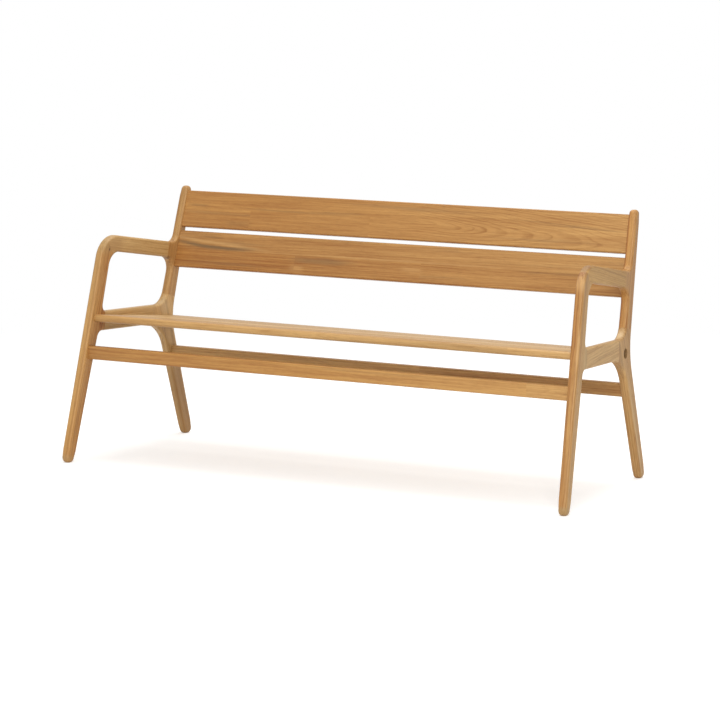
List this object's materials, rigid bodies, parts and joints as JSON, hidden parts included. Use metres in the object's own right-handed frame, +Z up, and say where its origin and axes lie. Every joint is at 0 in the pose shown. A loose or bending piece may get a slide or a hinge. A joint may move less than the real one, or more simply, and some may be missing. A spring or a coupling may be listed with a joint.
{
  "type": "garden bench",
  "caption": "Wooden garden bench with rounded arm frames, leaning back boards, a slatted sloping seat and stretchers between the legs.",
  "frame": {"origin": "on the floor, at the middle of the bench's footprint", "axes": "+X along the seat to the sitter's left, -Y towards the front, +Z up"},
  "size_m": [1.6638, 0.6368, 0.7861],
  "materials": {
    "front_leg_wood": "fine sanded, no varnish",
    "armrest_wood": "fine sanded, no varnish",
    "back_post_wood": "fine sanded, no varnish",
    "rear_leg_wood": "fine sanded, no varnish",
    "side_rail_wood": "fine sanded, no varnish",
    "board_wood": "fine sanded, no varnish",
    "seat_wood": "fine sanded, no varnish",
    "stretcher_wood": "fine sanded, no varnish",
    "tie_wood": "fine sanded, no varnish",
    "dowel_wood": "fine sanded, no varnish",
    "bolt_steel": "dull stainless",
    "washer_steel": "dull stainless",
    "nut_steel": "dull stainless",
    "screw_steel": "dull stainless"
  },
  "bodies": {
    "root": {"arm_mitre_dowels": "dowel_wood", "arm_post_dowels": "dowel_wood", "armrest_left": "armrest_wood", "armrest_right": "armrest_wood", "back_board_dowels": "dowel_wood", "back_post_left": "back_post_wood", "back_post_right": "back_post_wood", "front_leg_left": "front_leg_wood", "front_leg_right": "front_leg_wood", "front_stretcher": "stretcher_wood", "lower_back_board": "board_wood", "post_leg_dowels": "dowel_wood", "rail_front_dowels": "dowel_wood", "rail_rear_dowels": "dowel_wood", "rear_leg_left": "rear_leg_wood", "rear_leg_right": "rear_leg_wood", "rear_stretcher": "stretcher_wood", "seat_barrel_nuts": "nut_steel", "seat_board_1": "seat_wood", "seat_board_2": "seat_wood", "seat_board_3": "seat_wood", "seat_bolt_washers": "washer_steel", "seat_bolts": "bolt_steel", "seat_dowels": "dowel_wood", "seat_tie_left": "tie_wood", "seat_tie_right": "tie_wood", "seat_tie_screws": "screw_steel", "side_rail_left": "side_rail_wood", "side_rail_right": "side_rail_wood", "upper_back_board": "board_wood"}
  },
  "joints": []
}
